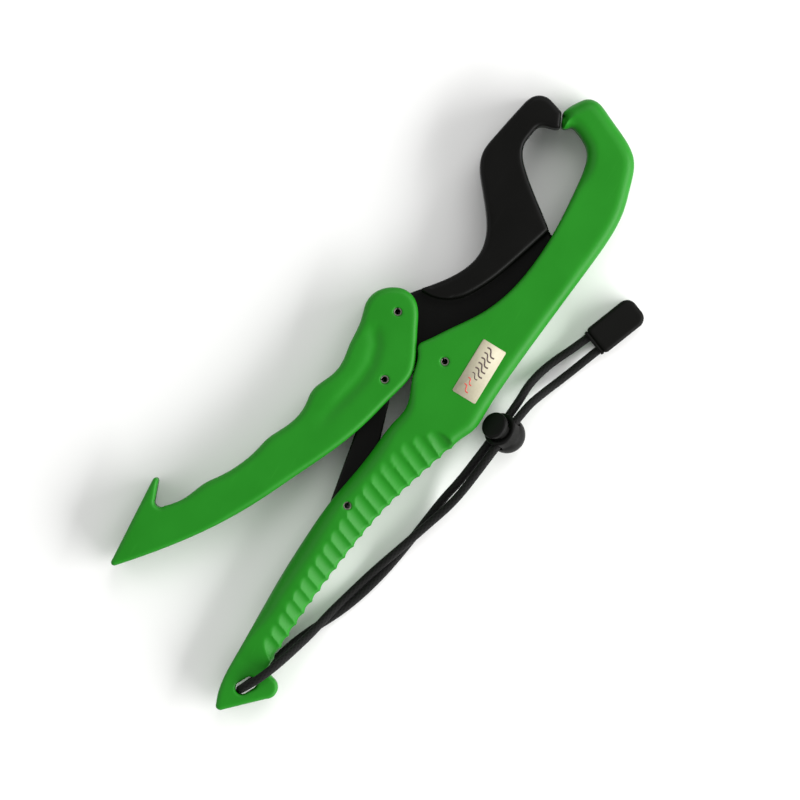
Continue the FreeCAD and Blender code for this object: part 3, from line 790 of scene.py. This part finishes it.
def brushed_steel():
    material, tree, shader = new_material("pin_steel", Metallic=1.0)
    place = add(tree, "ShaderNodeTexCoord").outputs["Object"]
    squeeze = add(tree, "ShaderNodeMapping")
    squeeze.inputs["Scale"].default_value = (1.0, 1.0, 0.15)
    tree.links.new(place, squeeze.inputs["Vector"])
    grain = noise_at(tree, squeeze.outputs["Vector"], 3000.0, 3.0, 0.6)
    stain = noise_at(tree, place, 700.0, 2.0)
    tree.links.new(mix_colour(tree, stain, STEEL_DARK, STEEL_LIGHT), shader.inputs["Base Color"])
    rough = math_node(tree, "ADD", 0.25, math_node(tree, "MULTIPLY", grain, 0.3))
    tree.links.new(rough, shader.inputs["Roughness"])
    bump_into(tree, shader, grain, 0.01 * MM, 0.6)
    return material


pin_steel = brushed_steel()
print(pin_steel.name, "between", STEEL_DARK[:3], "and", STEEL_LIGHT[:3])

# %% A roll pin in Geometry Nodes
def new_tree(name, inputs):
    tree = bpy.data.node_groups.new(name, "GeometryNodeTree")
    for label, kind, value in inputs:
        socket = tree.interface.new_socket(label, in_out="INPUT", socket_type=kind)
        if value is not None:
            socket.default_value = value
    tree.interface.new_socket("Geometry", in_out="OUTPUT", socket_type="NodeSocketGeometry")
    return tree, tree.nodes.new("NodeGroupInput").outputs, tree.nodes.new("NodeGroupOutput")


def end_tree(tree, given, out, geometry):
    """Every tree ends in Realize Instances and Set Material, so that it exports as plain mesh."""
    real = add(tree, "GeometryNodeRealizeInstances")
    paint = add(tree, "GeometryNodeSetMaterial")
    tree.links.new(geometry, real.inputs["Geometry"])
    tree.links.new(real.outputs["Geometry"], paint.inputs["Geometry"])
    tree.links.new(given["Material"], paint.inputs["Material"])
    tree.links.new(paint.outputs["Geometry"], out.inputs["Geometry"])


def roll_pin_tree():
    tree, given, out = new_tree("roll_pin", [
        ("Radius", "NodeSocketFloat", 1.5 * MM), ("Wall", "NodeSocketFloat", 0.5 * MM),
        ("Length", "NodeSocketFloat", 17 * MM), ("Slit", "NodeSocketFloat", 0.4),
        ("Corner", "NodeSocketFloat", 0.12 * MM), ("Place", "NodeSocketVector", (0, 0, 0)),
        ("Turn", "NodeSocketVector", (0, 0, 0)), ("Material", "NodeSocketMaterial", None)])
    arc = add(tree, "GeometryNodeCurveArc", mode="RADIUS", values={"Resolution": 64})
    half_wall = math_node(tree, "MULTIPLY", given["Wall"], 0.5)
    tree.links.new(math_node(tree, "SUBTRACT", given["Radius"], half_wall), arc.inputs["Radius"])
    tree.links.new(math_node(tree, "SUBTRACT", 2 * math.pi, given["Slit"]), arc.inputs["Sweep Angle"])
    strip = add(tree, "GeometryNodeCurvePrimitiveQuadrilateral")
    tree.links.new(given["Wall"], strip.inputs["Width"])
    tree.links.new(given["Length"], strip.inputs["Height"])
    fillet = add(tree, "GeometryNodeFilletCurve", mode="POLY", values={"Count": 4})
    tree.links.new(strip.outputs["Curve"], fillet.inputs["Curve"])
    tree.links.new(given["Corner"], fillet.inputs["Radius"])
    sweep = add(tree, "GeometryNodeCurveToMesh", values={"Fill Caps": True})
    tree.links.new(arc.outputs["Curve"], sweep.inputs["Curve"])
    tree.links.new(fillet.outputs["Curve"], sweep.inputs["Profile Curve"])
    move = add(tree, "GeometryNodeTransform")
    tree.links.new(sweep.outputs["Mesh"], move.inputs["Geometry"])
    tree.links.new(given["Place"], move.inputs["Translation"])
    tree.links.new(given["Turn"], move.inputs["Rotation"])
    end_tree(tree, given, out, move.outputs["Geometry"])
    return tree


def made_by(tree, name, **values):
    """A plain mesh object made by a Geometry Nodes tree with these inputs."""
    holder = bpy.data.objects.new(name, bpy.data.meshes.new(name))
    bpy.context.collection.objects.link(holder)
    maker = holder.modifiers.new("maker", "NODES")
    maker.node_group = tree
    sockets = {s.name: s.identifier for s in tree.interface.items_tree if s.in_out == "INPUT"}
    for label, value in values.items():
        maker[sockets[label]] = value
    result = plain_mesh_of(holder)
    holder.modifiers.clear()
    holder.data = result
    return holder


def face_outwards(piece):
    shape = bmesh.new()
    shape.from_mesh(piece.data)
    bmesh.ops.remove_doubles(shape, verts=shape.verts, dist=WELD_DISTANCE / 2)
    bmesh.ops.recalc_face_normals(shape, faces=shape.faces)
    shape.to_mesh(piece.data)
    shape.free()


roll_pin = roll_pin_tree()
PIN_SEATS = {"jaw_pivot_pin": ("grip", 70), "link_foot_pin": ("grip", 15),
             "lever_pivot_pin": ("lever", 40), "link_head_pin": ("lever", 130)}
for pin, (body, turn) in PIN_SEATS.items():
    low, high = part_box(pin)
    piece = made_by(roll_pin, pin.replace("pin", "roll_pin"), Radius=(high.x - low.x) / 2,
                    Length=high.z - low.z, Place=centre(pin), Turn=(0, 0, math.radians(turn)),
                    Material=pin_steel)
    face_outwards(piece)
    finish_piece(piece, body, "pin_steel", pin_steel, pin)
    print(pin, "size", [round(v / MM, 2) for v in piece.dimensions])

# %% [markdown]
# ## The cord lock
#
# A cord lock is a small barrel with a hole across it, and a button on a spring whose own hole
# lines up with the barrel's when it is pressed. The CAD shapes are right, so they are only
# rebuilt as fine, even quads and softened, as the tumbling of such small mouldings does. The
# spring's length along the button's travel, and the share of it left when the button is fully
# pressed, are printed.

# %% Barrel, button and spring
BARREL_VOXEL = 0.22 * MM
BUTTON_VOXEL = 0.2 * MM
SPRING_VOXEL = 0.12 * MM


def softened(name, node, voxel, rounds):
    piece = remeshed(name, node, voxel)
    relax(piece, rounds)
    return piece


barrel = softened("lock_barrel", "cord_lock_barrel", BARREL_VOXEL, 3)
finish_piece(barrel, "cord_lock", "lock_plastic", lock_plastic, "cord_lock_barrel")
button = softened("lock_press_button", "cord_lock_button", BUTTON_VOXEL, 3)
finish_piece(button, "lock_button", "lock_plastic", lock_plastic, "cord_lock_button")


def squeezed_by(piece, joint_name):
    """Print a spring's length along a sliding joint's axis and the share left at the joint's longer limit,
    and give it a mesh of its own.
    """
    joint = next(j for j in frame["joints"] if j["name"] == joint_name)
    way = Vector(joint["axis"]).normalized()
    heights = [v.co.dot(way) for v in piece.data.vertices]
    length = max(heights) - min(heights)
    keep = 1 - max(joint["range_m"]) / length
    print(piece.name, "is", round(length / MM, 2), "mm long, and keeps", round(keep, 2))
    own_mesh(piece)


spring = softened("lock_coil_spring", "cord_lock_spring", SPRING_VOXEL, 1)
finish_piece(spring, "cord_lock", "pin_steel", pin_steel, "cord_lock_spring")
squeezed_by(spring, "lock_button_press")

# %% [markdown]
# ## The cord's end cap
#
# Both cord ends are gripped by a small plug, and a soft rubber cap is pushed over it. A box with
# a bevel would give the same corners, but the CAD cap also has its bore and its plug's seat, so
# the two CAD pieces are rebuilt and softened like the lock. The cap is relaxed once more than
# the barrel, because rubber leaves the mould with a softer edge than hard plastic.

# %% Cap and plug
cap = softened("end_cap_rubber", "cord_end_cap", BARREL_VOXEL, 4)
finish_piece(cap, "grip", "cap_rubber", cap_rubber, "cord_end_cap")
plug = softened("end_plug_rubber", "cord_end_plug", BUTTON_VOXEL, 2)
finish_piece(plug, "grip", "cap_rubber", cap_rubber, "cord_end_plug")

# %% [markdown]
# ## The lanyard's fibre
#
# The strands are modelled, so the material adds the single fibres too small to model and a dry
# sheen, and it paints the gaps between strands darker, as painted shade.
# A pattern on Object coordinates would run straight through the bends. This one follows the
# tube's UV map, and the same two families of strands as the mesh, so that both agree.

# %% Fibre material, and the finished lanyard
# The gap colour is painted shade, for the shadow between the strands of the braid.
FIBRE_GAP_SHADE = (0.002, 0.002, 0.002, 1)
FIBRE_TOP = (0.008, 0.008, 0.0075, 1)


def braid_fibre():
    material, tree, shader = new_material("cord_fibre", Sheen_Weight=0.06, Sheen_Roughness=0.5,
                                          Specular_IOR_Level=0.12)
    cloth = add(tree, "ShaderNodeUVMap", uv_map="braid").outputs["UV"]
    parts = add(tree, "ShaderNodeSeparateXYZ")
    tree.links.new(cloth, parts.inputs["Vector"])
    families = []
    for lean in (1, -1):
        wind = math_node(tree, "MULTIPLY", parts.outputs["Y"], lean * 0.5)
        turn = math_node(tree, "ADD", parts.outputs["X"], wind)
        wave = math_node(tree, "COSINE", math_node(tree, "MULTIPLY", turn, 2 * math.pi * BRAID_STRANDS))
        families.append(wave)
    top = math_node(tree, "ADD", 0.5, math_node(tree, "MULTIPLY", 0.5, math_node(tree, "MAXIMUM", *families)))
    stretch = add(tree, "ShaderNodeMapping")
    stretch.inputs["Scale"].default_value = (160, 60, 1)
    tree.links.new(cloth, stretch.inputs["Vector"])
    fibres = noise_at(tree, stretch.outputs["Vector"], 1.0, 3.0, 0.6)
    # Painted shade: the gaps between strands get a darker colour than the strand tops.
    tree.links.new(mix_colour(tree, top, FIBRE_GAP_SHADE, FIBRE_TOP), shader.inputs["Base Color"])
    rough = math_node(tree, "ADD", 0.55, math_node(tree, "MULTIPLY", fibres, 0.3))
    tree.links.new(rough, shader.inputs["Roughness"])
    bump_into(tree, shader, math_node(tree, "ADD", top, math_node(tree, "MULTIPLY", fibres, 0.5)), 0.05 * MM)
    return material


cord_fibre = braid_fibre()
finish_piece(lanyard, "grip", "cord_fibre", cord_fibre, "lanyard_cord")
at(*CORD_ROUTE[1])
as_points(lanyard_line)

# %% [markdown]
# ## The paper label
#
# A small paper label lies flat beside the jaw's pivot. The sheet is a few faces of mesh code:
# its place and its two sides are read from the CAD label, because it is turned on the body. Its
# print is a plain row of ripples in two inks. They could be painted on as colour, but a shape
# stays sharp at any distance, so one Geometry Nodes tree makes them: a row of points along the
# label, a short wave swept with a thin flat section on each, and a random size from a fixed seed.

# %% Label paper
PAPER_DARK = (0.44, 0.41, 0.29, 1)
PAPER_LIGHT = (0.60, 0.56, 0.42, 1)
PAPER_STAIN = (0.33, 0.28, 0.18, 1)
LEAST_SIDE = 5 * MM


def paper():
    material, tree, shader = new_material("label_paper", Specular_IOR_Level=0.4)
    place = add(tree, "ShaderNodeTexCoord").outputs["Object"]
    pulp = noise_at(tree, place, 900.0, 5.0, 0.65)
    stain = noise_at(tree, place, 160.0, 3.0)
    clean = mix_colour(tree, pulp, PAPER_DARK, PAPER_LIGHT)
    stained = mix_colour(tree, math_node(tree, "MULTIPLY", stain, 0.35), clean, PAPER_STAIN)
    tree.links.new(stained, shader.inputs["Base Color"])
    rough = math_node(tree, "ADD", 0.35, math_node(tree, "MULTIPLY", pulp, 0.25))
    tree.links.new(rough, shader.inputs["Roughness"])
    bump_into(tree, shader, pulp, 0.02 * MM)
    return material


def label_frame():
    """The label's middle, the way its long side runs, its two lengths, and its lowest and highest place."""
    mesh = frame["nodes"]["label"].data
    low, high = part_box("label")
    edges = sorted(((mesh.vertices[a].co - mesh.vertices[b].co).xy for a, b in mesh.edge_keys),
                   key=lambda e: e.length)
    sides = [e for e in edges if e.length > LEAST_SIDE]
    short = sides[0]
    square_on = (e for e in sides if abs(e.dot(short)) < 0.01 * e.length * short.length)
    long = max(square_on, key=lambda e: e.length)
    return centre("label"), long.normalized(), long.length, short.length, low.z, high.z


label_paper = paper()
middle, long_way, label_length, label_width, label_low, label_high = label_frame()
print("label", round(label_length / MM, 1), "by", round(label_width / MM, 1), "mm")

# %% A sheet of paper with rounded corners
PRINT_HEIGHT = 0.03 * MM
CORNER_RADIUS = 0.6 * MM


def rounded_outline(length, width, radius, steps=6):
    for quarter in range(4):
        sx, sy = ((1, 1), (-1, 1), (-1, -1), (1, -1))[quarter]
        for i in range(steps + 1):
            a = math.radians(90 * (quarter + i / steps))
            yield (sx * (length / 2 - radius) + radius * math.cos(a),
                   sy * (width / 2 - radius) + radius * math.sin(a))


def on_label(u, v, z):
    across = Vector((-long_way.y, long_way.x))
    flat = middle.xy + long_way * u + across * v
    return Vector((flat.x, flat.y, z))


def paper_sheet():
    shape = bmesh.new()
    outline = list(rounded_outline(label_length, label_width, CORNER_RADIUS))
    top = [shape.verts.new(on_label(u, v, label_high - PRINT_HEIGHT)) for u, v in outline]
    bottom = [shape.verts.new(on_label(u, v, label_low)) for u, v in outline]
    shape.faces.new(top)
    shape.faces.new(reversed(bottom))
    for i in range(len(outline)):
        j = (i + 1) % len(outline)
        shape.faces.new((bottom[i], bottom[j], top[j], top[i]))
    bmesh.ops.bevel(shape, geom=[e for e in shape.edges if all(v in top for v in e.verts)],
                    offset=0.04 * MM, segments=2, affect="EDGES")
    bmesh.ops.recalc_face_normals(shape, faces=shape.faces)
    mesh = bpy.data.meshes.new("paper_label")
    shape.to_mesh(mesh)
    shape.free()
    sheet = bpy.data.objects.new("paper_label", mesh)
    bpy.context.collection.objects.link(sheet)
    return sheet


finish_piece(paper_sheet(), "grip", "label_paper", label_paper, "label")

# %% Ripples of ink in Geometry Nodes
def ink(name, colour):
    material, tree, shader = new_material(name, Roughness=0.35)
    place = add(tree, "ShaderNodeTexCoord").outputs["Object"]
    thin = noise_at(tree, place, 2500.0, 2.0)
    faded = tuple(min(1.0, c * 2.2 + 0.04) for c in colour[:3]) + (1,)
    tree.links.new(mix_colour(tree, thin, colour, faded), shader.inputs["Base Color"])
    return material


RIPPLE_SIZES = (0.65, 1.15)


def ripple_tree():
    tree, given, out = new_tree("ripples", [
        ("Count", "NodeSocketInt", 5), ("Start", "NodeSocketVector", (0, 0, 0)),
        ("Step", "NodeSocketVector", (0, 0, 0)), ("Lean", "NodeSocketFloat", 0.0),
        ("Length", "NodeSocketFloat", 3 * MM), ("Swing", "NodeSocketFloat", 0.5 * MM),
        ("Stroke", "NodeSocketFloat", 0.4 * MM), ("Thickness", "NodeSocketFloat", 0.03 * MM),
        ("Seed", "NodeSocketInt", 1), ("Material", "NodeSocketMaterial", None)])
    row = add(tree, "GeometryNodeMeshLine")
    tree.links.new(given["Count"], row.inputs["Count"])
    tree.links.new(given["Start"], row.inputs["Start Location"])
    tree.links.new(given["Step"], row.inputs["Offset"])
    stroke = add(tree, "GeometryNodeCurvePrimitiveLine")
    ends = add(tree, "ShaderNodeCombineXYZ")
    tree.links.new(given["Length"], ends.inputs["X"])
    tree.links.new(ends.outputs["Vector"], stroke.inputs["End"])
    fine = add(tree, "GeometryNodeResampleCurve", values={"Count": 24})
    tree.links.new(stroke.outputs["Curve"], fine.inputs["Curve"])
    share = add(tree, "GeometryNodeSplineParameter").outputs["Factor"]
    wave = math_node(tree, "SINE", math_node(tree, "MULTIPLY", share, 2 * math.pi))
    lift = add(tree, "ShaderNodeCombineXYZ")
    tree.links.new(math_node(tree, "MULTIPLY", wave, given["Swing"]), lift.inputs["Y"])
    bend = add(tree, "GeometryNodeSetPosition")
    tree.links.new(fine.outputs["Curve"], bend.inputs["Geometry"])
    tree.links.new(lift.outputs["Vector"], bend.inputs["Offset"])
    section = add(tree, "GeometryNodeCurvePrimitiveQuadrilateral")
    tree.links.new(given["Stroke"], section.inputs["Width"])
    tree.links.new(given["Thickness"], section.inputs["Height"])
    sweep = add(tree, "GeometryNodeCurveToMesh", values={"Fill Caps": True})
    tree.links.new(bend.outputs["Geometry"], sweep.inputs["Curve"])
    tree.links.new(section.outputs["Curve"], sweep.inputs["Profile Curve"])
    size = add(tree, "FunctionNodeRandomValue", data_type="FLOAT")
    size.inputs[2].default_value, size.inputs[3].default_value = RIPPLE_SIZES
    tree.links.new(given["Seed"], size.inputs["Seed"])
    turn = add(tree, "ShaderNodeCombineXYZ")
    tree.links.new(given["Lean"], turn.inputs["Z"])
    spread = add(tree, "GeometryNodeInstanceOnPoints")
    tree.links.new(row.outputs["Mesh"], spread.inputs["Points"])
    tree.links.new(sweep.outputs["Mesh"], spread.inputs["Instance"])
    tree.links.new(turn.outputs["Vector"], spread.inputs["Rotation"])
    flat_size = add(tree, "ShaderNodeCombineXYZ", values={"Z": 1.0})
    tree.links.new(size.outputs[1], flat_size.inputs["X"])
    tree.links.new(size.outputs[1], flat_size.inputs["Y"])
    tree.links.new(flat_size.outputs["Vector"], spread.inputs["Scale"])
    end_tree(tree, given, out, spread.outputs["Instances"])
    return tree


ripples = ripple_tree()
label_turn = math.atan2(long_way.y, long_way.x)
INK_Z = label_high - PRINT_HEIGHT / 2
RIPPLE_LENGTH = 4.2 * MM
RIPPLE_SWING = 0.55 * MM
RIPPLE_STROKE = 0.5 * MM
DARK_INK = (0.05, 0.03, 0.025, 1)
RED_INK = (0.38, 0.03, 0.02, 1)
ROWS = {"print_dark": dict(count=6, start=-8.6, step=2.0, side=-1.9, lean=62, colour=DARK_INK, seed=3),
        "print_red": dict(count=2, start=3.6, step=2.6, side=-2.2, lean=50, colour=RED_INK, seed=8)}
for name, row in ROWS.items():
    start = on_label(row["start"] * MM, row["side"] * MM, INK_Z)
    step = on_label((row["start"] + row["step"]) * MM, row["side"] * MM, INK_Z) - start
    printed = ink(name, row["colour"])
    marks = made_by(ripples, name, Count=row["count"], Start=start, Step=step,
                    Lean=label_turn + math.radians(row["lean"]), Length=RIPPLE_LENGTH, Swing=RIPPLE_SWING,
                    Stroke=RIPPLE_STROKE, Thickness=PRINT_HEIGHT, Seed=row["seed"], Material=printed)
    face_outwards(marks)
    marks.data.materials.clear()
    marks.data.materials.append(printed)
    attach(marks, "grip")
    print(name, len(marks.data.polygons), "faces", [round(v / MM, 2) for v in marks.dimensions])

# %% [markdown]
# ## A last check of the size
#
# Every surface here was moved a little from the CAD one: rims were rounded, quads relaxed, the
# cord braided. None of that may make the grip larger or smaller than the model it stands for. The
# box round all finished pieces could be compared by eye, but two lines of numbers are surer.

# %% Sizes before and after
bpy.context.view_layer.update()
for model, (low, high) in (("CAD", cad_box), ("visual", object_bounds())):
    print(model, "size", [round((b - a) / MM, 2) for a, b in zip(low, high)], "mm")
